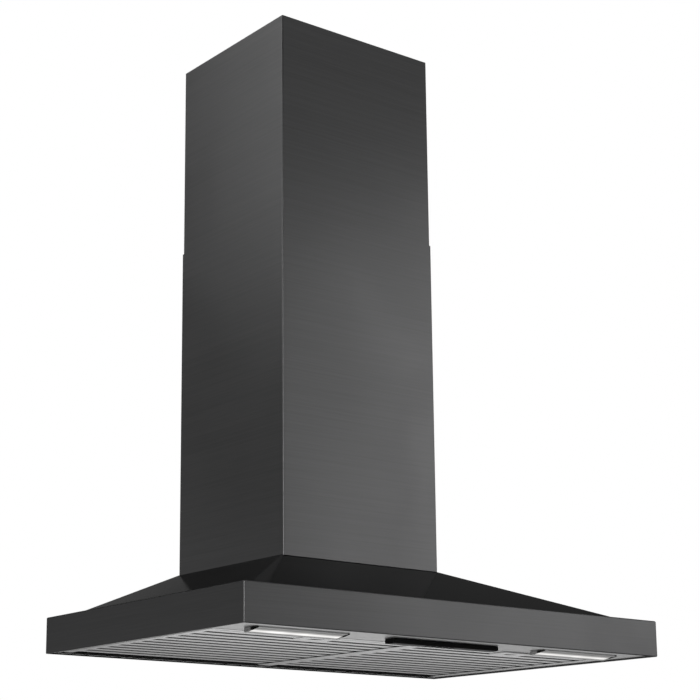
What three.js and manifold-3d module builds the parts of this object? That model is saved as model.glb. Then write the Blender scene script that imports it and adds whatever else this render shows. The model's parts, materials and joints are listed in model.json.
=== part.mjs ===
// Wall-mounted pyramid range hood, 30-inch class, with a telescopic chimney.
// Units are millimetres. +Z is up, +X is to the right of a person facing the hood.
// The wall is the plane y = 0, the room is towards -Y, and z = 0 is the skirt's lower edge.
import * as THREE from "three";
import { ConvexGeometry } from "three/addons/geometries/ConvexGeometry.js";
import { mergeVertices } from "three/addons/utils/BufferGeometryUtils.js";
import Module from "manifold-3d";

const wasm = await Module();
wasm.setup();

// ---- driving dimensions ----

const GAP = 0.3; // air gap between two pieces that touch
const GRID = 0.001;

// canopy
const WIDTH = 760;
const DEPTH = 500;
const SKIRT_HEIGHT = 53.5;
const RIM = 27.5; // flat rim between the skirt and the slopes
const SLOPE_TOP = 135.5;
const SHEET = 1.2;
const HEM_DEPTH = 2.6;
const HEM_HEIGHT = 2;

// chimney covers
const CHIMNEY_WIDTH = 296;
const CHIMNEY_DEPTH = 272;
const CHIMNEY_SHEET = 0.9;
const SLIDE_CLEARANCE = 0.4;
const LOWER_TOP = 660;
const UPPER_TOP = 975;
const UPPER_LENGTH = 500;
const RETURN_FLANGE = 12;
const NEST = CHIMNEY_SHEET + SLIDE_CLEARANCE;

// underside liner
const LINER_Z = 2.5;
const LINER_SHEET = 1.2;
const LINER_FLANGE = 12;

// grease filters
const FILTER_WIDTH = 361.5;
const FILTER_REAR = -8;
const FILTER_LENGTH = 400;
const FILTER_X = 181.25; // centre of each filter
const FILTER_Z = 2;
const FILTER_HEIGHT = 10;
const FILTER_BORDER = 12;
const BAFFLE_PITCH = 30.4;
const BAFFLE_GAPS = 13;
const BAFFLE_GAP = 12;
const BAFFLE_SHEET = 0.8;
const BAFFLE_LIP = 4;

// filter latches
const LATCH_X = FILTER_X;
const LATCH_WIDTH = 57;
const LATCH_LENGTH = 32;

// lamps
const LAMP_X = 256;
const LAMP_Y = -448;
const LAMP_LENGTH = 153;
const LAMP_DEPTH = 28;
const LENS_LENGTH = 145.4;
const LENS_DEPTH = 20.4;
const LAMP_FRONT_Z = 0.8; // the lens slopes down from here
const LAMP_REAR_Z = -4; // to here

// control pod
const POD_LENGTH = 192;
const POD_FRONT = -455;
const POD_REAR = -434;
const POD_BOTTOM = -4.5;
const BUTTON_COUNT = 5;
const BUTTON_PITCH = 11;
const BUTTON_X = -6; // centre of the row
const BUTTON_DIAMETER = 7;
const BUTTON_TRAVEL = 1.5;

// blower
const BOX_HALF = 120;
const BOX_FRONT = -240;
const BOX_REAR = -12;
const BOX_HEIGHT = 270;
const BOX_SHEET = 1;
const FAN_Y = -135;
const FAN_Z = 250;
const WHEEL_RADIUS = 75;
const WHEEL_HALF = 45;
const BLADES = 24;
const SCROLL_HALF = 56;
const SCROLL_WALL = 2;
const SCROLL_START = 82;
const SCROLL_END = 105;
const MOTOR_RADIUS = 38;
const SHAFT_RADIUS = 4;

// duct collar
const COLLAR_Y = -92;
const COLLAR_RADIUS = 75;
const COLLAR_WALL = 2.2;
const COLLAR_HEIGHT = 52;

// ---- materials ----

const FINISH = {
  blackSteel: [0x3a3a3b, 0.38, 0.9],
  steel: [0xb4b4b2, 0.35, 0.9],
  galvanised: [0x9aa0a3, 0.5, 0.8],
  gloss: [0x0b0b0c, 0.12, 0.0],
  blackPlastic: [0x1c1c1e, 0.6, 0.0],
  greyPlastic: [0x8a8d90, 0.6, 0.0],
  whitePlastic: [0xe6e6e2, 0.5, 0.0],
  lens: [0xf4f6fa, 0.3, 0.0],
  board: [0x1f5a38, 0.6, 0.0],
  zinc: [0xc9cbcd, 0.3, 0.9],
};

// ---- solids ----

// A closed solid from a three.js geometry. Its corners lie on a grid of a thousandth of a
// millimetre, so that faces meant to be level with each other are exactly level.
function solid(geometry) {
  const plain = new THREE.BufferGeometry();
  plain.setAttribute("position", geometry.getAttribute("position").clone());
  if (geometry.index) plain.setIndex(geometry.index.clone());
  const merged = mergeVertices(plain, 1e-4);
  const corners = Array.from(merged.getAttribute("position").array);
  const mesh = new wasm.Mesh({
    numProp: 3,
    vertProperties: new Float32Array(corners.map((value) => Math.round(value / GRID) * GRID)),
    triVerts: new Uint32Array(merged.index.array),
  });
  return new wasm.Manifold(mesh);
}

function geometryOf(body) {
  const mesh = body.getMesh();
  const geometry = new THREE.BufferGeometry();
  geometry.setAttribute("position", new THREE.BufferAttribute(mesh.vertProperties, 3));
  geometry.setIndex(new THREE.BufferAttribute(mesh.triVerts, 1));
  geometry.computeVertexNormals();
  return geometry;
}

// A box between two corners.
function block(x0, x1, y0, y1, z0, z1) {
  const geometry = new THREE.BoxGeometry(x1 - x0, y1 - y0, z1 - z0);
  geometry.translate((x0 + x1) / 2, (y0 + y1) / 2, (z0 + z1) / 2);
  return solid(geometry);
}

// A cylinder along an axis, from start to end on that axis.
function rod(axis, radius, start, end, [u, v], segments = 32) {
  const geometry = new THREE.CylinderGeometry(radius, radius, end - start, segments);
  geometry.translate(0, (start + end) / 2, 0);
  if (axis === "x") {
    geometry.rotateZ(-Math.PI / 2);
    geometry.translate(0, u, v);
  } else if (axis === "y") {
    geometry.translate(u, 0, v);
  } else {
    geometry.rotateX(Math.PI / 2);
    geometry.translate(u, v, 0);
  }
  return solid(geometry);
}

// A closed outline of [x, y] points as a shape.
function outline(points) {
  return new THREE.Shape(points.map(([x, y]) => new THREE.Vector2(x, y)));
}

// A shape drawn in the XZ plane, extruded from y0 to y1.
function slabY(shape, y0, y1) {
  const geometry = new THREE.ExtrudeGeometry(shape, { depth: y1 - y0, bevelEnabled: false });
  geometry.rotateX(Math.PI / 2);
  geometry.translate(0, y1, 0);
  return solid(geometry);
}

// A shape drawn in the YZ plane, extruded from x0 to x1.
function slabX(shape, x0, x1) {
  const geometry = new THREE.ExtrudeGeometry(shape, {
    depth: x1 - x0,
    bevelEnabled: false,
    curveSegments: 4,
  });
  geometry.rotateX(Math.PI / 2);
  geometry.rotateZ(Math.PI / 2);
  geometry.translate(x0, 0, 0);
  return solid(geometry);
}

// A shape drawn in the XY plane, extruded from z0 to z1.
function slabZ(shape, z0, z1) {
  const geometry = new THREE.ExtrudeGeometry(shape, { depth: z1 - z0, bevelEnabled: false });
  geometry.translate(0, 0, z0);
  return solid(geometry);
}

function joined(bodies) {
  return bodies.reduce((sum, body) => sum.add(body));
}

function cut(body, tools) {
  return tools.reduce((rest, tool) => rest.subtract(tool), body);
}

const hood = new THREE.Group();

function place(name, body, finish) {
  const [color, roughness, metalness] = FINISH[finish];
  const material = new THREE.MeshStandardMaterial({ color, roughness, metalness });
  const mesh = new THREE.Mesh(geometryOf(body), material);
  mesh.name = name;
  hood.add(mesh);
}

// ---- canopy ----

const SLOPE = Math.atan2(SLOPE_TOP - SKIRT_HEIGHT, WIDTH / 2 - RIM - CHIMNEY_WIDTH / 2);

// The four corners of a level rectangle that is inset from the canopy's front and sides.
function ring(inset, z, back) {
  const x = WIDTH / 2 - inset;
  const y = -DEPTH + inset;
  return [[-x, y], [x, y], [x, back], [-x, back]].map(([px, py]) => new THREE.Vector3(px, py, z));
}

// The canopy's outer form, made smaller by the given sheet thickness on every face.
function canopyForm(inset, bottom, back) {
  const rimZ = SKIRT_HEIGHT - inset;
  const topZ = SLOPE_TOP - inset;
  const run = (z) => RIM + (z - SKIRT_HEIGHT + inset / Math.cos(SLOPE)) / Math.tan(SLOPE);
  const skirt = block(-WIDTH / 2 + inset, WIDTH / 2 - inset, -DEPTH + inset, back, bottom, rimZ);
  const overlap = 5;
  const corners = [
    ...ring(run(rimZ), rimZ - overlap, back),
    ...ring(run(rimZ), rimZ, back),
    ...ring(run(topZ), topZ, back),
  ];
  return skirt.add(solid(new ConvexGeometry(corners)));
}

const BLOWER_OPENING = { half: 108, front: -228, back: -24 };

function canopyShell() {
  const past = 10;
  const inner = canopyForm(SHEET, -past, past);
  const { half, front, back } = BLOWER_OPENING;
  const opening = block(-half, half, front, back, SLOPE_TOP - past, SLOPE_TOP + past);
  const x = WIDTH / 2;
  const hem = block(-x, x, -DEPTH, 0, 0, HEM_HEIGHT).subtract(
    block(-x + HEM_DEPTH, x - HEM_DEPTH, -DEPTH + HEM_DEPTH, -HEM_DEPTH, -past, past)
  );
  return cut(canopyForm(0, 0, 0), [inner, opening]).add(hem);
}

const KEYHOLE_X = 110;
const KEYHOLE_Z = 78;

function keyhole(x) {
  const head = rod("y", 6, -5, 5, [x, KEYHOLE_Z], 24);
  const slot = block(x - 3, x + 3, -5, 5, KEYHOLE_Z, KEYHOLE_Z + 16);
  return head.add(slot);
}

function backPanel() {
  const lower = HEM_HEIGHT + GAP;
  const side = WIDTH / 2 - HEM_DEPTH - GAP;
  const slopeSide = (z) => WIDTH / 2 - RIM - (z - SKIRT_HEIGHT + 3 * GAP) / Math.tan(SLOPE) - SHEET;
  const shoulder = SKIRT_HEIGHT - SHEET - GAP;
  const top = SLOPE_TOP - SHEET - GAP;
  const right = [[side, lower], [side, shoulder], [slopeSide(shoulder), shoulder], [slopeSide(top), top]];
  const left = right.map(([x, z]) => [-x, z]).reverse();
  const panel = slabY(outline([...right, ...left]), -SHEET, 0);
  return cut(panel, [keyhole(-KEYHOLE_X), keyhole(KEYHOLE_X)]);
}

// ---- underside liner ----

const LINER_SIDE = WIDTH / 2 - HEM_DEPTH - GAP;
const LINER_FRONT = -DEPTH + HEM_DEPTH + GAP;
const LINER_BACK = -SHEET - GAP;
const FILTER_FRONT = FILTER_REAR - FILTER_LENGTH;
const MOUTH_SIDE = FILTER_X + FILTER_WIDTH / 2 + 0.8;
const MOUTH_FRONT = FILTER_FRONT - 0.8;
const MOUTH_BACK = FILTER_REAR + 2.6;
const TONGUE_HALF = 9;

function underside() {
  const z0 = LINER_Z;
  const z1 = LINER_Z + LINER_SHEET;
  const top = z1 + LINER_FLANGE;
  const past = 8;
  const tray = block(-LINER_SIDE, LINER_SIDE, LINER_FRONT, LINER_BACK, z0, top);
  const sheet = LINER_SHEET;
  const inside = block(
    -LINER_SIDE + sheet, LINER_SIDE - sheet, LINER_FRONT + sheet, LINER_BACK + past, z1, top + past
  );
  const curb = block(
    -MOUTH_SIDE - sheet, MOUTH_SIDE + sheet, MOUTH_FRONT - sheet, MOUTH_BACK, z0, top
  );
  const mouth = block(-MOUTH_SIDE, MOUTH_SIDE, MOUTH_FRONT, MOUTH_BACK, z0 - past, top + past);
  const podHalf = (BUTTON_COUNT * BUTTON_PITCH) / 2;
  const podHole = block(
    BUTTON_X - podHalf, BUTTON_X + podHalf, POD_FRONT + 5, POD_REAR - 5, z0 - past, z1 + past
  );
  const cuts = [mouth, podHole];
  for (const side of [-1, 1]) {
    const slotX = side * LATCH_X;
    const slotY = MOUTH_FRONT - sheet;
    cuts.push(block(slotX - TONGUE_HALF, slotX + TONGUE_HALF, slotY - past, slotY + past, 6, 10));
    const lampX = side * LAMP_X;
    const halfLength = LENS_LENGTH / 2 + 2.1;
    const halfDepth = LENS_DEPTH / 2 + 2.1;
    cuts.push(block(
      lampX - halfLength, lampX + halfLength, LAMP_Y - halfDepth, LAMP_Y + halfDepth, z0 - past, z1 + past
    ));
  }
  return cut(tray.subtract(inside).add(curb), cuts);
}

// ---- lamps ----

function lampBlock(x, length, depth, z0, z1) {
  return block(x - length / 2, x + length / 2, LAMP_Y - depth / 2, LAMP_Y + depth / 2, z0, z1);
}

const LAMP_COLLAR = 3.6;
const LENS_RECESS = 0.5;
const LENS_THICKNESS = 2.5;
const LAMP_FALL = (LAMP_REAR_Z - LAMP_FRONT_Z) / LAMP_DEPTH;

// The height of the lamp's sloping lower face at a given y.
function lampFace(y) {
  return (LAMP_FRONT_Z + LAMP_REAR_Z) / 2 + (y - LAMP_Y) * LAMP_FALL;
}

// A prism along the lamp between two heights, each a function of y.
function lampPrism(x, length, depth, bottom, top) {
  const front = LAMP_Y - depth / 2;
  const rear = LAMP_Y + depth / 2;
  const corners = [[front, bottom(front)], [rear, bottom(rear)], [rear, top(rear)], [front, top(front)]];
  return slabX(outline(corners), x - length / 2, x + length / 2);
}

function lampBezel(x) {
  const wedge = lampPrism(x, LAMP_LENGTH, LAMP_DEPTH, lampFace, () => LINER_Z - GAP);
  const collar = lampBlock(x, LENS_LENGTH + LAMP_COLLAR, LENS_DEPTH + LAMP_COLLAR, 1, 9);
  const window = lampBlock(x, LENS_LENGTH + 2 * GAP, LENS_DEPTH + 2 * GAP, -9, 10);
  return wedge.add(collar).subtract(window);
}

function lampCan(x) {
  const z0 = LINER_Z + LINER_SHEET + GAP;
  const z1 = z0 + 16;
  const outer = lampBlock(x, LAMP_LENGTH + 2, LAMP_DEPTH + 2, z0, z1);
  return outer.subtract(lampBlock(x, LAMP_LENGTH, LAMP_DEPTH, z0 - 1, z1 - 1));
}

function lampLens(x) {
  const lower = (y) => lampFace(y) + LENS_RECESS;
  const upper = (y) => lower(y) + LENS_THICKNESS;
  return lampPrism(x, LENS_LENGTH, LENS_DEPTH, lower, upper);
}

const LAMP_LEDS = 6;

function lampBoard(x) {
  const top = LINER_Z + LINER_SHEET + GAP + 15 - GAP;
  const board = lampBlock(x, LAMP_LENGTH - 6, LENS_DEPTH, top - 1.6, top);
  const pitch = LENS_LENGTH / LAMP_LEDS;
  const leds = [];
  for (let i = 0; i < LAMP_LEDS; i += 1) {
    const ledX = x + (i - (LAMP_LEDS - 1) / 2) * pitch;
    leds.push(lampBlock(ledX, 5, 5, top - 2.6, top - 1.5));
  }
  return joined([board, ...leds]);
}

// ---- control pod ----

function buttonX(index) {
  return BUTTON_X + (index - (BUTTON_COUNT - 1) / 2) * BUTTON_PITCH;
}

const POD_MIDDLE = (POD_FRONT + POD_REAR) / 2;
const POD_TOP = LINER_Z - GAP;
const POD_WALL = 1.5;
const BUTTON_CLEARANCE = 0.35;

// The pod's section, with its two lower edges rounded, grown smaller by the inset.
function podSection(inset) {
  const front = POD_FRONT + inset;
  const rear = POD_REAR - inset;
  const bottom = POD_BOTTOM + inset;
  const radius = 2.4 - inset;
  const shape = new THREE.Shape();
  shape.moveTo(front, POD_TOP + inset);
  shape.lineTo(front, bottom + radius);
  shape.absarc(front + radius, bottom + radius, radius, Math.PI, 1.5 * Math.PI);
  shape.lineTo(rear - radius, bottom);
  shape.absarc(rear - radius, bottom + radius, radius, 1.5 * Math.PI, 2 * Math.PI);
  shape.lineTo(rear, POD_TOP + inset);
  shape.closePath();
  return shape;
}

function controlFascia() {
  const half = POD_LENGTH / 2;
  const outer = slabX(podSection(0), -half, half);
  const inner = slabX(podSection(POD_WALL), -half + POD_WALL, half - POD_WALL);
  const holes = [];
  for (let i = 0; i < BUTTON_COUNT; i += 1) {
    const radius = BUTTON_DIAMETER / 2 + BUTTON_CLEARANCE;
    holes.push(rod("z", radius, POD_BOTTOM - 5, 0, [buttonX(i), POD_MIDDLE], 24));
  }
  return cut(outer, [inner, ...holes]);
}

const CAP_TOP = -0.5;

// A push-button: a round cap with a wider collar behind the fascia that keeps it in.
function controlButton(index) {
  const at = [buttonX(index), POD_MIDDLE];
  const cap = rod("z", BUTTON_DIAMETER / 2, POD_BOTTOM - 0.7, CAP_TOP, at, 24);
  const collarZ = POD_BOTTOM + POD_WALL + GAP;
  const collar = rod("z", BUTTON_DIAMETER / 2 + 1, collarZ, collarZ + 1, at, 24);
  return cap.add(collar);
}

const CONTROL_BOARD_Z = 7;

function controlHousing() {
  const z0 = LINER_Z + LINER_SHEET + GAP;
  const half = POD_LENGTH / 2 - 14;
  const outer = block(-half, half, POD_FRONT - 4, POD_REAR - 2, z0, z0 + 18);
  const inner = block(-half + 1.5, half - 1.5, POD_FRONT - 2.5, POD_REAR - 3.5, z0 - 1, z0 + 16.5);
  return outer.subtract(inner);
}

function controlBoard() {
  const half = POD_LENGTH / 2 - 16;
  const board = block(-half, half, POD_FRONT - 2, POD_REAR - 4, CONTROL_BOARD_Z, CONTROL_BOARD_Z + 1.6);
  const parts = [board];
  for (const x of [-68, -46, 58]) {
    parts.push(block(x - 8, x + 8, POD_MIDDLE - 6, POD_MIDDLE + 6, CONTROL_BOARD_Z + 1, CONTROL_BOARD_Z + 9));
  }
  for (let i = 0; i < BUTTON_COUNT; i += 1) {
    const stemEnd = CAP_TOP + BUTTON_TRAVEL + GAP;
    parts.push(rod("z", 2, stemEnd, CONTROL_BOARD_Z + 0.5, [buttonX(i), POD_MIDDLE], 12));
  }
  return joined(parts);
}

// ---- chimney covers ----

// A three-sided sheet cover with return flanges along its back edges.
function cover(offset, z0, z1) {
  const half = CHIMNEY_WIDTH / 2 - offset;
  const front = -CHIMNEY_DEPTH + offset;
  const back = -offset;
  const sheet = CHIMNEY_SHEET;
  const lip = half - RETURN_FLANGE;
  const right = [
    [lip, back - sheet], [half - sheet, back - sheet], [half - sheet, front + sheet],
  ];
  const outerRight = [[half, front], [half, back], [lip, back]];
  const mirror = (points) => points.map(([x, y]) => [-x, y]).reverse();
  return slabZ(outline([...right, ...mirror(right), ...mirror(outerRight), ...outerRight]), z0, z1);
}

const COVER_SCREW_X = 140;
const COVER_SCREW_Z = UPPER_TOP - 20;
const SCREW_RADIUS = 2;

// Clearance holes for the two screws that join the upper cover to the wall bracket.
function coverScrewHoles() {
  return [-1, 1].map((side) => (
    rod("y", SCREW_RADIUS + GAP, -10, 5, [side * COVER_SCREW_X, COVER_SCREW_Z], 16)
  ));
}

function upperCover() {
  return cut(cover(NEST, UPPER_TOP - UPPER_LENGTH, UPPER_TOP), coverScrewHoles());
}

const BRACKET_SHEET = 1.5;

// The wall bracket that carries the upper cover. Its middle stands back to meet the wall, and
// its two arms turn forward inside the cover.
function wallBracket() {
  const sheet = BRACKET_SHEET;
  const half = CHIMNEY_WIDTH / 2 - NEST - CHIMNEY_SHEET - GAP;
  const wall = -NEST;
  const web = wall - CHIMNEY_SHEET - GAP;
  const arm = web - 40;
  const step = half - RETURN_FLANGE - 3;
  const behind = [[step, wall], [step, web], [half, web], [half, arm]];
  const before = [
    [half - sheet, arm], [half - sheet, web - sheet], [step - sheet, web - sheet], [step - sheet, wall - sheet],
  ];
  const right = [...behind, ...before];
  const left = right.map(([x, y]) => [-x, y]).reverse();
  const bracket = slabZ(outline([...right, ...left]), COVER_SCREW_Z - 13, COVER_SCREW_Z + 13);
  const holes = [-90, 90].map((x) => rod("y", 4, wall - 20, wall + 5, [x, COVER_SCREW_Z], 24));
  return cut(bracket, [...coverScrewHoles(), ...holes]);
}

// A pan-head screw, driven from the front through the bracket into the cover's flange.
function coverScrew(side) {
  const at = [side * COVER_SCREW_X, COVER_SCREW_Z];
  const seat = -NEST - CHIMNEY_SHEET - GAP - BRACKET_SHEET - GAP / 2;
  const head = rod("y", 3.6, seat - 0.85, seat, at, 20);
  const shank = rod("y", SCREW_RADIUS, seat - 0.4, -NEST - GAP / 2, at, 16);
  return head.add(shank);
}

// ---- blower box ----

const BOX_BOTTOM = SLOPE_TOP + GAP;
const BOX_TOP = BOX_BOTTOM + BOX_HEIGHT;

function blowerBox() {
  const sheet = BOX_SHEET;
  const outer = block(-BOX_HALF, BOX_HALF, BOX_FRONT, BOX_REAR, BOX_BOTTOM, BOX_TOP);
  const inner = block(
    -BOX_HALF + sheet, BOX_HALF - sheet, BOX_FRONT - 5, BOX_REAR - sheet, BOX_BOTTOM - 5, BOX_TOP - sheet
  );
  const foot = block(-BOX_HALF - 10, BOX_HALF + 10, BOX_FRONT, BOX_REAR, BOX_BOTTOM, BOX_BOTTOM + sheet);
  const outlet = rod("z", COLLAR_RADIUS - COLLAR_WALL, BOX_TOP - 5, BOX_TOP + 5, [0, COLLAR_Y], 48);
  return cut(outer.add(foot), [inner, outlet]);
}

function blowerCover() {
  const face = BOX_FRONT - GAP;
  const plate = block(-BOX_HALF, BOX_HALF, face - 1, face, BOX_BOTTOM, BOX_TOP);
  const rib = block(-BOX_HALF + 30, BOX_HALF - 30, face - 3, face - 0.5, BOX_BOTTOM + 40, BOX_TOP - 40);
  const hollow = block(-BOX_HALF + 31, BOX_HALF - 31, face - 2, face + 1, BOX_BOTTOM + 41, BOX_TOP - 41);
  return plate.add(rib).subtract(hollow);
}

const SCROLL_TOP = BOX_TOP - BOX_SHEET - GAP;
const TONGUE_ANGLE = (100 * Math.PI) / 180;

// The volute: a spiral that opens from the tongue round to the outlet, which points up.
function voluteShape(inset) {
  const steps = 36;
  const points = [];
  for (let i = 0; i <= steps; i += 1) {
    const share = i / steps;
    const angle = TONGUE_ANGLE + share * (2 * Math.PI - TONGUE_ANGLE);
    const radius = SCROLL_START + share * (SCROLL_END - SCROLL_START) - inset;
    points.push([FAN_Y + radius * Math.cos(angle), FAN_Z + radius * Math.sin(angle)]);
  }
  const top = SCROLL_TOP + 2 * inset;
  points.push([FAN_Y + SCROLL_END - inset, top]);
  points.push([FAN_Y + (SCROLL_START - inset) * Math.cos(TONGUE_ANGLE) + inset, top]);
  return outline(points);
}

function scrollHalf(side) {
  const near = side * GAP / 2;
  const far = side * SCROLL_HALF;
  const wall = side * (SCROLL_HALF - SCROLL_WALL);
  const outer = slabX(voluteShape(0), Math.min(near, far), Math.max(near, far));
  const past = near - side;
  const inner = slabX(voluteShape(SCROLL_WALL), Math.min(past, wall), Math.max(past, wall));
  const eye = rod("x", 62, Math.min(near, far) - 3, Math.max(near, far) + 3, [FAN_Y, FAN_Z], 48);
  return cut(outer, [inner, eye]);
}

// ---- fan wheel and motor ----

const HUB_PLATE = 1.5;
const MOTOR_END = -8;
const MOTOR_BACK = -72;

function ringX(inner, outer, x0, x1, segments = 40) {
  const at = [FAN_Y, FAN_Z];
  return rod("x", outer, x0, x1, at, segments).subtract(rod("x", inner, x0 - 1, x1 + 1, at, segments));
}

function fanWheel() {
  const hub = ringX(SHAFT_RADIUS + GAP, 12, -3, 14, 32);
  const disc = ringX(SHAFT_RADIUS + GAP, WHEEL_RADIUS - 1, -HUB_PLATE / 2, HUB_PLATE / 2);
  const rims = [-1, 1].map((side) => {
    const edge = side * WHEEL_HALF;
    const inner = side * (WHEEL_HALF - 2.5);
    return ringX(WHEEL_RADIUS - 11, WHEEL_RADIUS, Math.min(edge, inner), Math.max(edge, inner));
  });
  const blades = [];
  for (let i = 0; i < BLADES; i += 1) {
    const blade = new THREE.BoxGeometry(2 * WHEEL_HALF - 2, 9.5, 1);
    blade.rotateX(0.55);
    blade.translate(0, WHEEL_RADIUS - 5.6, 0);
    blade.rotateX((i * 2 * Math.PI) / BLADES);
    blade.translate(0, FAN_Y, FAN_Z);
    blades.push(solid(blade));
  }
  return joined([hub, disc, ...rims, ...blades]);
}

function motorShaft() {
  return rod("x", SHAFT_RADIUS, -40, 20, [FAN_Y, FAN_Z], 24);
}

function motorBody() {
  const at = [FAN_Y, FAN_Z];
  const can = rod("x", MOTOR_RADIUS, MOTOR_BACK, MOTOR_END, at, 40);
  const band = rod("x", MOTOR_RADIUS + 1.5, -46, -34, at, 40);
  const boss = rod("x", 12, MOTOR_END - 1, MOTOR_END + 3, at, 32);
  const bore = rod("x", SHAFT_RADIUS + GAP, -41, 0, at, 32);
  return joined([can, band, boss]).subtract(bore);
}

// A spider that holds the motor in the left inlet.
function motorBracket() {
  const plateX = MOTOR_BACK - GAP;
  const reach = 72;
  const parts = [rod("x", 30, plateX - 2, plateX, [FAN_Y, FAN_Z], 40)];
  for (let i = 0; i < 3; i += 1) {
    const arm = block(plateX - 2, plateX, 20, reach, -7, 7);
    const leg = block(plateX - 2, -SCROLL_HALF - GAP, reach - 2, reach, -7, 7);
    const turned = arm.add(leg).rotate([i * 120 + 90, 0, 0]).translate([0, FAN_Y, FAN_Z]);
    parts.push(turned);
  }
  const hole = rod("x", 8, plateX - 5, plateX + 5, [FAN_Y, FAN_Z], 24);
  return joined(parts).subtract(hole);
}

// ---- duct collar and draught flaps ----

const COLLAR_Z = BOX_TOP + GAP;
const FLAP_Z = COLLAR_Z + 18;
const FLAP_ROD = 2;
const FLAP_AXIS_Y = 5;

function ringZ(inner, outer, z0, z1) {
  const at = [0, COLLAR_Y];
  return rod("z", outer, z0, z1, at, 48).subtract(rod("z", inner, z0 - 1, z1 + 1, at, 48));
}

function ductCollar() {
  const inner = COLLAR_RADIUS - COLLAR_WALL;
  const flangeHalf = COLLAR_RADIUS + 8;
  const flange = block(
    -flangeHalf, flangeHalf, COLLAR_Y - flangeHalf, COLLAR_Y + COLLAR_RADIUS + 4, COLLAR_Z, COLLAR_Z + 2
  ).subtract(rod("z", inner, COLLAR_Z - 1, COLLAR_Z + 3, [0, COLLAR_Y], 48));
  const tube = ringZ(inner, COLLAR_RADIUS, COLLAR_Z, COLLAR_Z + COLLAR_HEIGHT);
  const stop = ringZ(inner - 3, inner + 1, FLAP_Z - 3.5, FLAP_Z - 2);
  const drills = [-FLAP_AXIS_Y, FLAP_AXIS_Y].map((y) => (
    rod("x", FLAP_ROD + GAP, -COLLAR_RADIUS - 10, COLLAR_RADIUS + 10, [COLLAR_Y + y, FLAP_Z], 16)
  ));
  return cut(joined([flange, tube, stop]), drills);
}

function flapRod(side) {
  const reach = COLLAR_RADIUS - 1;
  return rod("x", FLAP_ROD, -reach, reach, [COLLAR_Y + side * FLAP_AXIS_Y, FLAP_Z], 16);
}

// A half-round flap with a tube along its straight edge, turning on its rod.
function draughtFlap(side) {
  const radius = COLLAR_RADIUS - COLLAR_WALL - 1;
  const axisY = COLLAR_Y + side * FLAP_AXIS_Y;
  const low = FLAP_Z - 1.5;
  const disc = rod("z", radius, low, low + 1.2, [0, COLLAR_Y], 48);
  const keepFrom = side > 0 ? axisY : COLLAR_Y - COLLAR_RADIUS;
  const keepTo = side > 0 ? COLLAR_Y + COLLAR_RADIUS : axisY;
  const half = disc.intersect(block(-COLLAR_RADIUS, COLLAR_RADIUS, keepFrom, keepTo, low - 1, low + 3));
  const barrel = rod("x", 3.6, -radius + 3, radius - 3, [axisY, FLAP_Z], 24);
  const bore = rod("x", FLAP_ROD + GAP, -radius - 5, radius + 5, [axisY, FLAP_Z], 16);
  return half.add(barrel).subtract(bore);
}

// ---- electrics on the sides of the blower box ----

const SIDE_MOUNT = BOX_HALF + GAP;
const JUNCTION = { y0: -170, y1: -80, z0: 318, z1: 384, depth: 19.7 };

function junctionBox() {
  const { y0, y1, z0, z1, depth } = JUNCTION;
  const outer = block(SIDE_MOUNT, SIDE_MOUNT + depth, y0, y1, z0, z1);
  const wall = 1.5;
  const inner = block(SIDE_MOUNT + wall, SIDE_MOUNT + depth + 5, y0 + wall, y1 - wall, z0 + wall, z1 - wall);
  const entry = rod("z", 6.3, z1 - 5, z1 + 5, [SIDE_MOUNT + 10, -125], 24);
  return cut(outer, [inner, entry]);
}

function junctionCover() {
  const { y0, y1, z0, z1, depth } = JUNCTION;
  const x = SIDE_MOUNT + depth + GAP;
  return block(x, x + 1.2, y0, y1, z0, z1);
}

function terminalBlock() {
  const { z0 } = JUNCTION;
  const x0 = SIDE_MOUNT + 1.5 + GAP;
  const base = block(x0, x0 + 11, -155, -95, z0 + 18, z0 + 36);
  const pockets = [];
  for (let i = 0; i < 5; i += 1) {
    const y = -149 + i * 12;
    pockets.push(rod("x", 3, x0 + 6, x0 + 15, [y, z0 + 27], 12));
  }
  return cut(base, pockets);
}

// The grommet that the mains lead enters through.
function mainsGrommet() {
  const { z1 } = JUNCTION;
  const at = [SIDE_MOUNT + 10, -125];
  const flange = rod("z", 8.4, z1 + GAP, z1 + 3, at, 32);
  const neck = rod("z", 6, z1 - 5, z1 + 1, at, 32);
  const inner = rod("z", 4, z1 - 10, z1 + 10, at, 24);
  return flange.add(neck).subtract(inner);
}

function capacitor() {
  const x = -SIDE_MOUNT - 9.5;
  const can = rod("z", 9.5, 330, 372, [x, -150], 32);
  const stud = rod("z", 3, 371, 377, [x, -150], 16);
  return can.add(stud);
}

function ledDriver() {
  const x1 = -SIDE_MOUNT;
  const body = block(x1 - 19.5, x1, -215, -105, 240, 280);
  const ears = block(x1 - 2, x1, -227, -93, 247, 273);
  return body.add(ears);
}

// ---- grease filters ----

const FILTER_TOP = FILTER_Z + FILTER_HEIGHT;
const FILTER_SHEET = 1;
const TAB_HALF = 12;

function filterBlock(x, inset, z0, z1) {
  const half = FILTER_WIDTH / 2 - inset;
  return block(x - half, x + half, FILTER_FRONT + inset, FILTER_REAR - inset, z0, z1);
}

function latchX(side) {
  return side * LATCH_X;
}

const SLIDER_HALF = 8;
const SLIDER_Z = 6.6;
const SLIDER_HEIGHT = 2.6;
const GUIDE_OUTER = 9.4;

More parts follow.
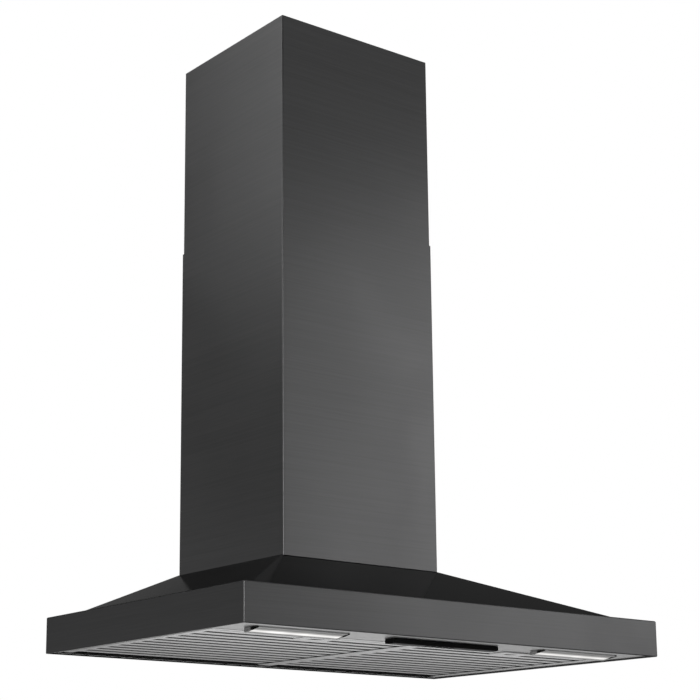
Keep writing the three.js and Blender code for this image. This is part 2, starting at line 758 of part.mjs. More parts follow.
// A hollow-section frame with two rear tabs and a slot in front for the latch tongue.
function filterFrame(side) {
  const x = side * FILTER_X;
  const outer = filterBlock(x, 0, FILTER_Z, FILTER_TOP);
  const channel = filterBlock(x, FILTER_SHEET, FILTER_Z + FILTER_SHEET, FILTER_TOP - FILTER_SHEET);
  const mouth = filterBlock(x, FILTER_BORDER, FILTER_Z - 5, FILTER_TOP + 5);
  const tabs = [-110, 110].map((offset) => block(
    x + offset - TAB_HALF, x + offset + TAB_HALF, FILTER_REAR - 2, FILTER_REAR + 5.2, 5.5, 6.7
  ));
  const lx = latchX(side);
  const slot = block(
    lx - SLIDER_HALF - 0.5, lx + SLIDER_HALF + 0.5, FILTER_FRONT - 3, FILTER_FRONT + 5,
    SLIDER_Z - 0.5, SLIDER_Z + SLIDER_HEIGHT + 0.5
  );
  const pocket = block(
    lx - LATCH_WINDOW / 2, lx + LATCH_WINDOW / 2, LATCH_BACK - 22, LATCH_BACK - 8, FILTER_Z - 5, FILTER_Z + 3
  );
  return cut(outer, [channel, mouth]).add(joined(tabs)).subtract(slot).subtract(pocket);
}

const LATCH_BACK = FILTER_FRONT + LATCH_LENGTH;
const LATCH_WINDOW = 22;

const BAFFLE_X = FILTER_WIDTH / 2 - FILTER_SHEET - GAP;
const LOWER_Z = FILTER_Z + FILTER_SHEET + GAP;
const UPPER_Z = FILTER_TOP - FILTER_SHEET - GAP;

function gapY(index) {
  return FILTER_REAR - FILTER_LENGTH / 2 + (index - (BAFFLE_GAPS - 1) / 2) * BAFFLE_PITCH;
}

// A channel along X: a flat web at webZ, with two lips that reach to lipZ.
function baffle(x, y, half, webZ, lipZ) {
  const inner = half - BAFFLE_SHEET;
  const web = webZ + Math.sign(lipZ - webZ) * BAFFLE_SHEET;
  const right = [[y + half, webZ], [y + half, lipZ], [y + inner, lipZ], [y + inner, web]];
  const left = [[y - inner, web], [y - inner, lipZ], [y - half, lipZ], [y - half, webZ]];
  return slabX(outline([...right, ...left]), x - BAFFLE_X, x + BAFFLE_X);
}

// The two rails that tie the ends of a filter's baffles, inside the thickness of their webs.
function endRails(x, webZ, toLip) {
  const y0 = FILTER_FRONT + FILTER_SHEET + GAP;
  const y1 = FILTER_REAR - FILTER_SHEET - GAP;
  const faces = [webZ + toLip * 0.15, webZ + toLip * (BAFFLE_SHEET - 0.15)];
  return [-1, 1].map((side) => {
    const edges = [x + side * (BAFFLE_X - 0.5), x + side * (BAFFLE_X - 7)];
    return block(Math.min(...edges), Math.max(...edges), y0, y1, Math.min(...faces), Math.max(...faces));
  });
}

// Room above the front baffles for the latch slider.
function sliderRoom(side) {
  const lx = latchX(side);
  return block(
    lx - GUIDE_OUTER - 0.5, lx + GUIDE_OUTER + 0.5, FILTER_FRONT - 5, LATCH_BACK - 1,
    LOWER_Z - 2, SLIDER_Z + SLIDER_HEIGHT + 0.5
  );
}

function lowerBaffles(side) {
  const x = side * FILTER_X;
  const half = (BAFFLE_PITCH - BAFFLE_GAP) / 2;
  const parts = endRails(x, LOWER_Z, 1);
  for (let i = 0; i + 1 < BAFFLE_GAPS; i += 1) {
    const y = (gapY(i) + gapY(i + 1)) / 2;
    parts.push(baffle(x, y, half, LOWER_Z, LOWER_Z + BAFFLE_LIP));
  }
  return joined(parts).subtract(sliderRoom(side));
}

function upperBaffles(side) {
  const x = side * FILTER_X;
  const half = BAFFLE_GAP / 2 + 4;
  const parts = endRails(x, UPPER_Z, -1);
  const drains = [];
  for (let i = 0; i < BAFFLE_GAPS; i += 1) {
    parts.push(baffle(x, gapY(i), half, UPPER_Z, UPPER_Z - BAFFLE_LIP));
    for (const end of [-1, 1]) {
      const drainX = x + end * (FILTER_WIDTH / 2 - FILTER_BORDER - 6);
      drains.push(block(drainX - 5, drainX + 5, gapY(i) - 5, gapY(i) + 5, UPPER_Z - 3, UPPER_Z + 3));
    }
  }
  return cut(joined(parts), [...drains, sliderRoom(side)]);
}

// The plate under the filter's front edge, with a finger window and two ears that guide the
// latch slider.
function latchPlate(side) {
  const lx = latchX(side);
  const top = FILTER_Z - GAP;
  const half = LATCH_WIDTH / 2;
  const plate = block(lx - half, lx + half, FILTER_FRONT, LATCH_BACK, top - 1.4, top);
  const window = block(
    lx - LATCH_WINDOW / 2, lx + LATCH_WINDOW / 2, LATCH_BACK - 22, LATCH_BACK - 8, top - 5, top + 5
  );
  const ears = [-1, 1].map((edge) => {
    const faces = [lx + edge * GUIDE_OUTER, lx + edge * (SLIDER_HALF + GAP)];
    return block(Math.min(...faces), Math.max(...faces), LATCH_BACK - 21, LATCH_BACK - 7, top - 1, SLIDER_Z + 2);
  });
  return joined([plate.subtract(window), ...ears]);
}

// The sliding tongue with its finger tab, which shows in the plate's window.
function latchSlider(side) {
  const lx = latchX(side);
  const bar = block(
    lx - SLIDER_HALF, lx + SLIDER_HALF, FILTER_FRONT - 0.4, LATCH_BACK - 9, SLIDER_Z, SLIDER_Z + SLIDER_HEIGHT
  );
  const tab = block(lx - SLIDER_HALF, lx + SLIDER_HALF, LATCH_BACK - 21.5, LATCH_BACK - 19, 0.6, SLIDER_Z + 1);
  return bar.add(tab);
}

// ---- assembly ----

place("canopy_shell", canopyShell(), "blackSteel");
place("back_panel", backPanel(), "galvanised");
place("underside_liner", underside(), "steel");

for (const [label, side] of [["left", -1], ["right", 1]]) {
  const x = side * LAMP_X;
  place(`lamp_bezel_${label}`, lampBezel(x), "blackPlastic");
  place(`lamp_lens_${label}`, lampLens(x), "lens");
  place(`lamp_board_${label}`, lampBoard(x), "board");
  place(`lamp_can_${label}`, lampCan(x), "whitePlastic");
  place(`filter_frame_${label}`, filterFrame(side), "steel");
  place(`filter_lower_baffles_${label}`, lowerBaffles(side), "steel");
  place(`filter_upper_baffles_${label}`, upperBaffles(side), "steel");
  place(`latch_plate_${label}`, latchPlate(side), "steel");
  place(`latch_slider_${label}`, latchSlider(side), "zinc");
  place(`chimney_screw_${label}`, coverScrew(side), "zinc");
}

place("control_fascia", controlFascia(), "gloss");
place("control_housing", controlHousing(), "blackPlastic");
place("control_board", controlBoard(), "board");
for (let i = 0; i < BUTTON_COUNT; i += 1) {
  place(`button_${i + 1}`, controlButton(i), "gloss");
}

place("chimney_lower", cover(0, SLOPE_TOP + GAP, LOWER_TOP), "blackSteel");
place("chimney_upper", upperCover(), "blackSteel");
place("chimney_wall_bracket", wallBracket(), "galvanised");

place("blower_box", blowerBox(), "galvanised");
place("blower_front_cover", blowerCover(), "galvanised");
place("scroll_left", scrollHalf(-1), "blackPlastic");
place("scroll_right", scrollHalf(1), "blackPlastic");
place("fan_wheel", fanWheel(), "greyPlastic");
place("motor_shaft", motorShaft(), "zinc");
place("motor", motorBody(), "zinc");
place("motor_bracket", motorBracket(), "galvanised");
place("duct_collar", ductCollar(), "blackPlastic");
for (const [label, side] of [["rear", 1], ["front", -1]]) {
  place(`flap_rod_${label}`, flapRod(side), "zinc");
  place(`flap_${label}`, draughtFlap(side), "blackPlastic");
}
place("junction_box", junctionBox(), "whitePlastic");
place("junction_cover", junctionCover(), "whitePlastic");
place("terminal_block", terminalBlock(), "whitePlastic");
place("mains_grommet", mainsGrommet(), "blackPlastic");
place("capacitor", capacitor(), "whitePlastic");
place("led_driver", ledDriver(), "whitePlastic");

export default hood;
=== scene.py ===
"""A wall-mounted pyramid range hood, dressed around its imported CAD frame. All lengths are in metres."""

import json
import math

import bmesh
import bpy
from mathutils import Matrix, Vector

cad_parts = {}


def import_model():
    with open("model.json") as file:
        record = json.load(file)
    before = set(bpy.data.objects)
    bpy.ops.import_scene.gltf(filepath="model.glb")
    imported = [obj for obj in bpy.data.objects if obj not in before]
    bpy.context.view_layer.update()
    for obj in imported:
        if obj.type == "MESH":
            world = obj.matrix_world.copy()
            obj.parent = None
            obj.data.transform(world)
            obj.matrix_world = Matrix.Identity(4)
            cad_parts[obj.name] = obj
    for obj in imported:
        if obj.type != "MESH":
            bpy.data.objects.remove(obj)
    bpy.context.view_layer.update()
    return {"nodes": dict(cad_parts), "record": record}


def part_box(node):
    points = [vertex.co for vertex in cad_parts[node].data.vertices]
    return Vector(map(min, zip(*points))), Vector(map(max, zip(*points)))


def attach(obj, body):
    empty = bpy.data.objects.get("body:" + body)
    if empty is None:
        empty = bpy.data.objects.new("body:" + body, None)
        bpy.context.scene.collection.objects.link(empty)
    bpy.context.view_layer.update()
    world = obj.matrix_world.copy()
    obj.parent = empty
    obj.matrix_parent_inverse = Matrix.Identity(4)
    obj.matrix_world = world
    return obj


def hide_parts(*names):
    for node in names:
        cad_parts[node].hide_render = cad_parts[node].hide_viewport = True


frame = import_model()
nodes = frame["nodes"]
record = frame["record"]
SIDES = ("left", "right")
MM = 0.001
DEPTH = 500 * MM  # from the wall to the front of the canopy

# ---------------------------------------------------------------- node helpers


class Graph:
    """A small helper that wires shader nodes in one tree."""

    def __init__(self, tree):
        self.tree = tree
        self.nodes = tree.nodes
        self.nodes.clear()

    def add(self, kind, settings=None, **inputs):
        node = self.nodes.new(kind)
        for key, value in (settings or {}).items():
            setattr(node, key, value)
        for key, value in inputs.items():
            self.feed(node.inputs[key.replace("_", " ")], value)
        return node

    def feed(self, socket, value):
        if isinstance(value, bpy.types.NodeSocket):
            self.tree.links.new(value, socket)
        else:
            socket.default_value = value

    def math(self, operation, a, b=0.0):
        node = self.nodes.new("ShaderNodeMath")
        node.operation = operation
        self.feed(node.inputs[0], a)
        self.feed(node.inputs[1], b)
        return node.outputs[0]

    def position(self):
        """The X, Y and Z outputs of the object coordinates."""
        return self.add("ShaderNodeSeparateXYZ", Vector=self.place((1, 1, 1))).outputs

    def place(self, scale):
        """Object coordinates, stretched by a factor on each axis."""
        coordinates = self.add("ShaderNodeTexCoord")
        mapping = self.add("ShaderNodeMapping", Vector=coordinates.outputs["Object"], Scale=scale)
        return mapping.outputs["Vector"]

    def noise(self, scale, detail=2.0, roughness=0.5, distortion=0.0):
        """Noise on object coordinates; scale is its fineness on each axis, or on all three."""
        scales = scale if hasattr(scale, "__len__") else (scale, scale, scale)
        node = self.add(
            "ShaderNodeTexNoise", Vector=self.place(scales), Scale=1.0, Detail=detail, Roughness=roughness,
            Distortion=distortion,
        )
        return node.outputs["Fac"]

    def ramp(self, factor, stops):
        node = self.add("ShaderNodeValToRGB", Fac=factor)
        elements = node.color_ramp.elements
        while len(elements) < len(stops):
            elements.new(0.5)
        for element, (position, colour) in zip(elements, stops):
            element.position = position
            element.color = colour if len(colour) == 4 else (*colour, 1.0)
        return node.outputs["Color"]

    def spread(self, factor, low, high, from_low=0.0, from_high=1.0):
        node = self.add("ShaderNodeMapRange", Value=factor)
        node.inputs["From Min"].default_value = from_low
        node.inputs["From Max"].default_value = from_high
        node.inputs["To Min"].default_value = low
        node.inputs["To Max"].default_value = high
        return node.outputs["Result"]

    def product(self, a, b):
        return self.math("MULTIPLY", a, b)

    def blend(self, a, b, share):
        """a and b averaged, with share of a."""
        return self.math("ADD", self.product(a, share), self.product(b, 1 - share))

    def scaled(self, colour, factor):
        """A colour multiplied by a number."""
        node = self.add("ShaderNodeVectorMath", {"operation": "SCALE"})
        self.feed(node.inputs[0], colour)
        self.feed(node.inputs["Scale"], factor)
        return node.outputs["Vector"]

    def bump(self, height, strength, distance, normal=None):
        node = self.add("ShaderNodeBump", Height=height, Strength=strength, Distance=distance)
        if normal is not None:
            self.feed(node.inputs["Normal"], normal)
        return node.outputs["Normal"]


def new_material(name):
    material = bpy.data.materials.new(name)
    material.use_nodes = True
    graph = Graph(material.node_tree)
    output = graph.add("ShaderNodeOutputMaterial")
    shader = graph.add("ShaderNodeBsdfPrincipled")
    graph.feed(output.inputs["Surface"], shader.outputs["BSDF"])
    return material, graph, shader


def grey(level):
    return (level, level, level)


# ---------------------------------------------------------------- materials


GRAIN_SPREAD = (0.3, 0.7)  # the part of a noise's range that carries most of its values
BAND_EDGE = 0.15 * MM
PAINTED_SHADE_LEVEL = 0.2  # how much of the metal's brightness shows through the painted shade


def brushed_metal(
    name, dark, light, roughness, stretch, tint=(1, 1, 1), edge=1.0, shade_band=None, fade=None, polish_and_shade=None
):
    """Brushed sheet metal. stretch is the grain's scale on X, Y and Z: it runs along the small ones.

    Its reflection at a grazing angle is scaled by edge. Between the two heights of shade_band the
    metal is blackened as painted shade. fade is a list of (y, factor) that scale the colour from front to
    back, as painted shade. Above the given height, (height, roughness, factor), the finish is smoother,
    and the colour is darker as painted shade."""
    material, graph, shader = new_material(name)
    fine = graph.noise(stretch, detail=3.0, roughness=0.65)
    broad = graph.noise([s * 0.16 for s in stretch])
    smudge = graph.noise(5, detail=3.0, distortion=0.4)
    mixed = graph.blend(fine, broad, 0.6)
    shade = graph.ramp(mixed, [
        (GRAIN_SPREAD[0], [dark * t for t in tint]), (GRAIN_SPREAD[1], [light * t for t in tint]),
    ])
    position = graph.position()
    dimming = 1.0
    # fade darkens the colour from front to back as painted shade
    if fade:
        along = graph.spread(position["Y"], 0.0, 1.0, -DEPTH, 0.0)
        dimming = graph.ramp(along, [(1 + y / DEPTH, grey(level)) for y, level in fade])
    # Above the given height the finish is smoother, and the colour darker as painted shade
    if polish_and_shade:
        start, fineness, darkness = polish_and_shade
        dimming = graph.product(dimming, graph.spread(position["Z"], 1.0, darkness, start, start + MM))
    # shade_band blackens the metal in gaps and hollows as painted shade
    if shade_band:
        low, high = shade_band
        above = graph.spread(position["Z"], 0.0, 1.0, low, low + BAND_EDGE)
        below = graph.spread(position["Z"], 1.0, 0.0, high - BAND_EDGE, high)
        unshaded = graph.math("SUBTRACT", 1.0, graph.product(above, below))
        dimming = graph.product(dimming, graph.spread(unshaded, PAINTED_SHADE_LEVEL, 1.0))
    if fade or polish_and_shade or shade_band:
        shade = graph.scaled(shade, dimming)
        graph.feed(shader.inputs["Specular Tint"], graph.scaled(grey(edge), dimming))
    else:
        shader.inputs["Specular Tint"].default_value = (*grey(edge), 1)
    graph.feed(shader.inputs["Base Color"], shade)
    shader.inputs["Metallic"].default_value = 1.0
    grainy = graph.blend(mixed, smudge, 0.5)
    rough = graph.spread(grainy, *roughness, *GRAIN_SPREAD)
    if polish_and_shade:
        finish = graph.add("ShaderNodeMix", {"data_type": "FLOAT"})
        graph.feed(finish.inputs[0], graph.spread(position["Z"], 0.0, 1.0, start, start + MM))
        graph.feed(finish.inputs[2], rough)
        graph.feed(finish.inputs[3], graph.spread(grainy, fineness * 0.8, fineness * 1.2, *GRAIN_SPREAD))
        rough = finish.outputs[0]
    graph.feed(shader.inputs["Roughness"], rough)
    shader.inputs["Anisotropic"].default_value = 0.5
    swell = graph.bump(graph.noise((3.1, 2.7, 2.3), detail=1.0), 0.25, 0.004)
    graph.feed(shader.inputs["Normal"], graph.bump(mixed, 0.35, 0.00006, swell))
    return material


def galvanised(name):
    """Zinc-coated steel sheet with its spangle."""
    material, graph, shader = new_material(name)
    cells = graph.add("ShaderNodeTexVoronoi", Vector=graph.place((1, 1, 1)), Scale=110.0)
    spangle = graph.spread(cells.outputs["Distance"], 0.0, 1.0, 0.0, 0.8)
    tone = graph.add("ShaderNodeSeparateColor", Color=cells.outputs["Color"]).outputs[0]
    mixed = graph.blend(tone, spangle, 0.7)
    zinc = graph.ramp(mixed, [(0.0, (0.42, 0.44, 0.45)), (1.0, (0.6, 0.61, 0.62))])
    graph.feed(shader.inputs["Base Color"], zinc)
    shader.inputs["Metallic"].default_value = 0.85
    graph.feed(shader.inputs["Roughness"], graph.spread(mixed, 0.34, 0.55))
    fine = graph.noise(900)
    graph.feed(shader.inputs["Normal"], graph.bump(fine, 0.2, 0.0001))
    return material


def moulded(name, colour, roughness, texture=0.4, index=1.5):
    """Moulded plastic with a fine surface texture, handling marks and slight colour drift."""
    material, graph, shader = new_material(name)
    drift = graph.noise(9)
    darker = [c * 0.86 for c in colour]
    lighter = [min(1.0, c * 1.1) for c in colour]
    graph.feed(shader.inputs["Base Color"], graph.ramp(drift, [(0.3, darker), (0.7, lighter)]))
    marks = graph.noise(60, detail=4.0, roughness=0.7)
    graph.feed(shader.inputs["Roughness"], graph.spread(marks, *roughness, *GRAIN_SPREAD))
    shader.inputs["IOR"].default_value = index
    graph.feed(shader.inputs["Normal"], graph.bump(graph.noise(1400), texture, 0.00004))
    return material


def plated(name):
    """Plated fasteners and rods."""
    material, graph, shader = new_material(name)
    haze = graph.noise(80, detail=3.0)
    plating = graph.ramp(haze, [(0.3, (0.6, 0.6, 0.57)), (0.7, grey(0.74))])
    graph.feed(shader.inputs["Base Color"], plating)
    shader.inputs["Metallic"].default_value = 1.0
    graph.feed(shader.inputs["Roughness"], graph.spread(haze, 0.22, 0.4, *GRAIN_SPREAD))
    graph.feed(shader.inputs["Normal"], graph.bump(graph.noise(1500, detail=1.0), 0.15, 0.00005))
    return material


def circuit_board(name):
    """Green board with a raised pattern of tracks."""
    material, graph, shader = new_material(name)
    traces = graph.add("ShaderNodeTexBrick", Vector=graph.place((160, 300, 160)), Scale=1.0)
    traces.inputs["Color1"].default_value = (0.02, 0.13, 0.06, 1)
    traces.inputs["Color2"].default_value = (0.025, 0.16, 0.075, 1)
    traces.inputs["Mortar"].default_value = (0.05, 0.24, 0.12, 1)
    graph.feed(shader.inputs["Base Color"], traces.outputs["Color"])
    marks = graph.noise(120)
    graph.feed(shader.inputs["Roughness"], graph.spread(marks, 0.3, 0.5))
    graph.feed(shader.inputs["Normal"], graph.bump(traces.outputs["Fac"], 0.3, 0.0001))
    return material


def glossy_fascia(name):
    """Gloss black plastic with faint specks."""
    material, graph, shader = new_material(name)
    speck = graph.noise(1400)
    graph.feed(shader.inputs["Base Color"], graph.ramp(speck, [(0.3, grey(0.007)), (0.7, grey(0.011))]))
    graph.feed(shader.inputs["Roughness"], graph.spread(speck, 0.1, 0.16))
    shader.inputs["IOR"].default_value = 1.03
    return material


lens_low, lens_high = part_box("lamp_lens_left")
LENS_GLOW = [(0.0, 0.08), (0.2, 0.12), (0.45, 0.42), (0.68, 0.95), (0.86, 0.7), (1.0, 0.4)]  # front to rear


def lamp_lens(name):
    """A lit frosted diffuser, brighter towards its rear edge and in front of each light source."""
    material, graph, shader = new_material(name)
    frost = graph.noise(1800)
    graph.feed(shader.inputs["Base Color"], graph.ramp(frost, [(0.3, grey(0.1)), (0.7, grey(0.14))]))
    shader.inputs["IOR"].default_value = 1.2
    graph.feed(shader.inputs["Roughness"], graph.spread(frost, 0.35, 0.5))
    graph.feed(shader.inputs["Normal"], graph.bump(frost, 0.3, 0.00005))
    shader.inputs["Emission Color"].default_value = (1.0, 0.99, 0.97, 1)
    across = graph.spread(graph.position()["Y"], 0.0, 1.0, lens_low.y, lens_high.y)
    glow = graph.ramp(across, [(place, grey(level)) for place, level in LENS_GLOW])
    spots = graph.spread(graph.noise((36, 12, 12), detail=0.0), 0.9, 1.15, *GRAIN_SPREAD)
    graph.feed(shader.inputs["Emission Strength"], graph.product(glow, spots))
    return material


BLACK_TINT = (1.0, 1.0, 1.01)
BLACK_LOOK = (0.082, 0.104, (0.27, 0.36), (14, 14, 2600), BLACK_TINT)
FILTER_FINISH = ((0.28, 0.4), (14, 1800, 1800))
TRIM_FINISH = ((0.35, 0.45), (14, 1800, 1800))
FILTER_FRONT = -400 * MM
REAR_BORDER = -23 * MM  # where the filters' rear border starts
REAR_LIGHT = 0.62  # how bright the filters are at the rear, against the front: painted shade towards the wall
SHADOW = 0.03
# Heights between which the baffles and frames are blackened as painted shade
BAFFLE_BAND = (3.36 * MM, 10.6 * MM)
FRAME_BAND = (3.02 * MM, 11.6 * MM)
# Height, roughness and factor: the slopes are smoother, and darker as painted shade
SLOPE_POLISH_AND_SHADE = (54.5 * MM, 0.12, 0.85)

materials = {
    "black_stainless": brushed_metal("black_stainless", *BLACK_LOOK),
    # The liner's last strip at the wall is near black as painted shadow
    "liner_stainless": brushed_metal(
        "liner_stainless", 0.5, 0.62, (0.3, 0.42), (14, 2600, 900), edge=0.92,
        fade=[(-9 * MM, 1.0), (-7 * MM, SHADOW)],
    ),
    # The baffle gaps are blackened, and the filters darken towards the wall, as painted shade
    "filter_stainless": brushed_metal(
        "filter_stainless", 0.74, 0.86, *FILTER_FINISH, shade_band=BAFFLE_BAND,
        fade=[(FILTER_FRONT, 1.0), (-20 * MM, REAR_LIGHT)],
    ),
    "galvanised": galvanised("galvanised"),
    "zinc": plated("zinc"),
    "gloss_black": moulded("gloss_black", (0.008, 0.008, 0.008), (0.1, 0.16), texture=0.05, index=1.12),
    "black_plastic": moulded("black_plastic", (0.03, 0.03, 0.032), (0.42, 0.56)),
    "grey_plastic": moulded("grey_plastic", (0.33, 0.34, 0.35), (0.4, 0.55)),
    "white_plastic": moulded("white_plastic", (0.72, 0.72, 0.69), (0.38, 0.5)),
    "lamp_lens": lamp_lens("lamp_lens"),
    "circuit_board": circuit_board("circuit_board"),
}
# The canopy's slopes are smoother, and darker as painted shade
canopy_metal = brushed_metal("black_stainless_canopy", *BLACK_LOOK, edge=0.52, polish_and_shade=SLOPE_POLISH_AND_SHADE)
# The frames' hollow channel is blackened, and their rear border near black, as painted shade
frame_metal = brushed_metal(
    "filter_frame_stainless", 0.7, 0.82, *FILTER_FINISH, shade_band=FRAME_BAND,
    fade=[(FILTER_FRONT, 1.0), (REAR_BORDER, REAR_LIGHT), (REAR_BORDER + 3 * MM, SHADOW)],
)
trim_metal = brushed_metal("lamp_trim", 0.45, 0.55, *TRIM_FINISH)
# The front of each lamp end cap is near black as painted shade
cap_metal = brushed_metal(
    "lamp_cap", 0.45, 0.55, *TRIM_FINISH,
    fade=[(lens_low.y + 9 * MM, 0.05), (lens_low.y + 11 * MM, 0.8)],
)
# The rear hem is near black with almost no reflection, as painted shadow
hem_shadow_metal = brushed_metal("rear_hem", 0.008, 0.012, (0.5, 0.6), (14, 2600, 2600), edge=0.01)
fascia_gloss = glossy_fascia("fascia_gloss")
legend = moulded("legend_white", (0.85, 0.85, 0.85), (0.3, 0.4), texture=0.1)

# ---------------------------------------------------------------- outlines and solids


def fillet(corners, closed=True, steps=5):
    """Points of an outline whose corners (x, y, radius) are rounded to their radius."""
    count = len(corners)
    points = []
    for i, (x, y, radius) in enumerate(corners):
        at = Vector((x, y))
        if radius <= 0 or (not closed and i in (0, count - 1)):
            points.append(at)
            continue
        before = (Vector(corners[i - 1][:2]) - at).normalized()
        after = (Vector(corners[(i + 1) % count][:2]) - at).normalized()
        half = before.angle(after) / 2
        reach = radius / math.tan(half)
        centre = at + (before + after).normalized() * (radius / math.sin(half))
        start = at + before * reach - centre
        end = at + after * reach - centre
        turn = start.angle_signed(end)
        for k in range(steps + 1):
            spin = -turn * k / steps
            points.append(centre + Vector((
                start.x * math.cos(spin) - start.y * math.sin(spin),
                start.x * math.sin(spin) + start.y * math.cos(spin),
            )))
    return points


def grown(points, amount):
    """A closed outline with every edge moved outwards by an amount; the outline runs anticlockwise."""
    moved = []
    count = len(points)
    for i, at in enumerate(points):
        before = (at - points[i - 1]).normalized()
        after = (points[(i + 1) % count] - at).normalized()
        normal = Vector((before.y + after.y, -before.x - after.x))
        if normal.length < 1e-9:
            moved.append(at.copy())
            continue
        normal.normalize()
        cosine = max(0.3, normal.dot(Vector((before.y, -before.x))))
        moved.append(at + normal * (amount / cosine))
    return moved


def area(points):
    """The signed area of an outline, positive when it runs anticlockwise."""
    return sum(a.x * b.y - b.x * a.y for a, b in zip(points, points[1:] + points[:1])) / 2


def even_normals(piece):
    """Keeps large faces flat where they meet a small rounded edge."""
    weighted = piece.modifiers.new("even", "WEIGHTED_NORMAL")
    weighted.keep_sharp = True
    weighted.weight = 100


def build(name, faces_of, body, slot, material=None, replaced=()):
    """A mesh object made by a function that fills a bmesh; it rides on a CAD body."""
    shape = bmesh.new()
    faces_of(shape)
    bmesh.ops.remove_doubles(shape, verts=shape.verts, dist=1e-7)
    bmesh.ops.recalc_face_normals(shape, faces=shape.faces)
    mesh = bpy.data.meshes.new(name)
    shape.to_mesh(mesh)
    shape.free()
    mesh.materials.append(material or materials[slot])
    piece = bpy.data.objects.new(name, mesh)
    bpy.context.scene.collection.objects.link(piece)
    mesh.shade_smooth()
    mesh.set_sharp_from_angle(angle=math.radians(35))
    even_normals(piece)
    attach(piece, body)
    if replaced:
        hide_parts(*replaced)
    return piece


def loft(shape, rings):
    """Faces between closed rings of 3-D points, with end caps."""
    made = [[shape.verts.new(p) for p in ring] for ring in rings]
    for low, high in zip(made, made[1:]):
        count = len(low)
        for i in range(count):
            j = (i + 1) % count
            shape.faces.new((low[i], low[j], high[j], high[i]))
    shape.faces.new(list(reversed(made[0])))
    shape.faces.new(made[-1])


AXES = {
    "x": lambda u, v, w: (w, u, v),
    "y": lambda u, v, w: (u, w, v),
    "z": lambda u, v, w: (u, v, w),
}


def prism(shape, outline, axis, low, high, edge=0.0002):
    """A closed outline extruded along an axis, with its end edges rounded."""
    points = outline if area(outline) > 0 else list(reversed(outline))
    levels = [(low, -edge), (low + 0.3 * edge, -0.3 * edge), (low + edge, 0.0)]
    levels += [(high - edge, 0.0), (high - 0.3 * edge, -0.3 * edge), (high, -edge)]
    rings = []
    for level, inset in levels:
        ring = grown(points, inset) if inset else points
        rings.append([AXES[axis](p.x, p.y, level) for p in ring])
    loft(shape, rings)


def rectangle(x0, x1, y0, y1, radius):
    """The outline of a rectangle with rounded corners."""
    return fillet([(x0, y0, radius), (x1, y0, radius), (x1, y1, radius), (x0, y1, radius)])


# ---------------------------------------------------------------- canopy and chimney

BEND = 2 * MM
CANOPY_SHEET = 1.2 * MM
COVER_SHEET = 0.9 * MM
COVER_FLANGE = 12 * MM
COVER_SEAT = 1.3 * MM
HEM = 2.6 * MM  # width of the folded lower edge of the skirt
HEM_TOP = 2 * MM

shell_low, shell_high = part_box("canopy_shell")
shell_points = [v.co for v in nodes["canopy_shell"].data.vertices]
half_width = shell_high.x
front = shell_low.y
skirt_top = max(p.z for p in shell_points if p.x > half_width - MM)
on_rim = [p for p in shell_points if abs(p.z - skirt_top) < 0.1 * MM and p.x < half_width - 5 * MM]
rim = half_width - max(p.x for p in on_rim)
slope_run = half_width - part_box("chimney_lower")[1].x
slope_top = shell_high.z
slope_angle = math.atan2(slope_top - skirt_top, slope_run - rim)


def canopy_shell(shape):
    """The skirt, rim, slopes and top flange: one folded profile swept round three sides."""
    sheet = CANOPY_SHEET
    opening = slope_run + 40 * MM
    lean = sheet / math.cos(slope_angle)
    shift = (lean - sheet) / math.tan(slope_angle)
    inner_run = slope_run + shift
    profile = fillet([
        (0, 0, 1.4 * MM),
        (0, skirt_top, BEND),
        (rim, skirt_top, 3 * MM),
        (slope_run, slope_top, BEND),
        (opening, slope_top, 0),
        (opening, slope_top - sheet, 0),
        (inner_run, slope_top - sheet, 0.4 * MM),
        (rim + shift, skirt_top - sheet, 2 * MM),
        (sheet, skirt_top - sheet, 0.4 * MM),
        (sheet, HEM_TOP, 0),
        (HEM, HEM_TOP, 0.2 * MM),
        (HEM, 0, 0.5 * MM),
    ])
    rings = []
    for p in profile:
        x, y = half_width - p.x, front + p.x
        path = fillet([(-x, 0, 0), (-x, y, BEND), (x, y, BEND), (x, 0, 0)], closed=False)
        rings.append([(q.x, q.y, p.y) for q in path])
    made = [[shape.verts.new(p) for p in ring] for ring in rings]
    for low, high in zip(made, made[1:] + made[:1]):
        for i in range(len(low) - 1):
            shape.faces.new((low[i], low[i + 1], high[i + 1], high[i]))
    shape.faces.new([ring[0] for ring in made])
    shape.faces.new([ring[-1] for ring in reversed(made)])


def rear_hem(shape):
    """The bar that closes the skirt's lower edge along the wall."""
    edge = rectangle(shell_high.y - HEM, shell_high.y, 0, HEM_TOP, 0.4 * MM)
    prism(shape, edge, "x", HEM - half_width, half_width - HEM)


def cover(node, seat=0.0):
    """A folded three-sided cover with return flanges, from the size of its CAD node.

    It reaches down by seat, to close the air gap under it."""
    low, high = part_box(node)
    sheet = COVER_SHEET
    lip = high.x - COVER_FLANGE
    inner = BEND - sheet
    corners = [
        (-lip, high.y, 0), (low.x, high.y, BEND), (low.x, low.y, BEND), (high.x, low.y, BEND),
        (high.x, high.y, BEND), (lip, high.y, 0), (lip, high.y - sheet, 0),
        (high.x - sheet, high.y - sheet, inner), (high.x - sheet, low.y + sheet, inner),
        (low.x + sheet, low.y + sheet, inner), (low.x + sheet, high.y - sheet, inner),
        (-lip, high.y - sheet, 0),
    ]
    outline = fillet(corners)

    def faces_of(shape):
        prism(shape, outline, "z", low.z - seat, high.z, 0.25 * MM)

    return faces_of


BLACK = "black_stainless"
build("canopy_sheet", canopy_shell, "canopy", BLACK, material=canopy_metal, replaced=["canopy_shell"])
build("rear_hem_bar", rear_hem, "canopy", BLACK, material=hem_shadow_metal)
build("lower_cover_sheet", cover("chimney_lower", COVER_SEAT), "canopy", BLACK, replaced=["chimney_lower"])
build("upper_cover_sheet", cover("chimney_upper"), "upper_chimney", BLACK, replaced=["chimney_upper"])

# ---------------------------------------------------------------- push-buttons


